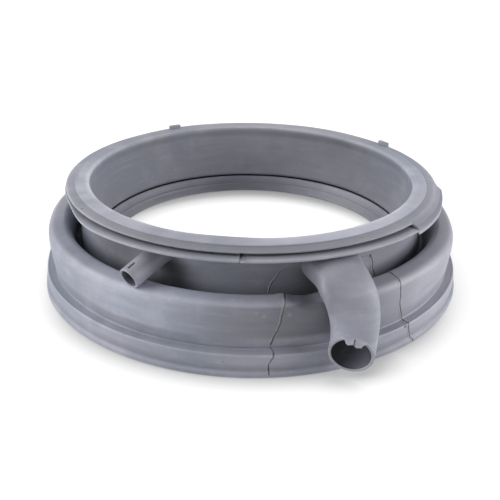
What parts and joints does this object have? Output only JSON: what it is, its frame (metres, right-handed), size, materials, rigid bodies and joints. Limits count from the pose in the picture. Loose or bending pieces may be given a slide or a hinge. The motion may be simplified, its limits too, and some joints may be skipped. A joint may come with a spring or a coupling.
{
  "type": "washing machine door seal",
  "caption": "Round rubber bellows that seals the gap between a front-loading tub and its door, with an inlet spigot and a drain spout.",
  "frame": {"origin": "on the seal's axis, at the face of the tub flange that the seal lies on", "axes": "+Z along the seal's axis, from the tub flange towards the front lip; -Y towards the side of the inlet spigot and the drain spout; +X to the right of that side"},
  "size_m": [0.3696, 0.3734, 0.0851],
  "materials": {
    "rubber": "matte, lightly scuffed and dusty"
  },
  "bodies": {
    "root": {"door_seal": "rubber"}
  },
  "joints": []
}
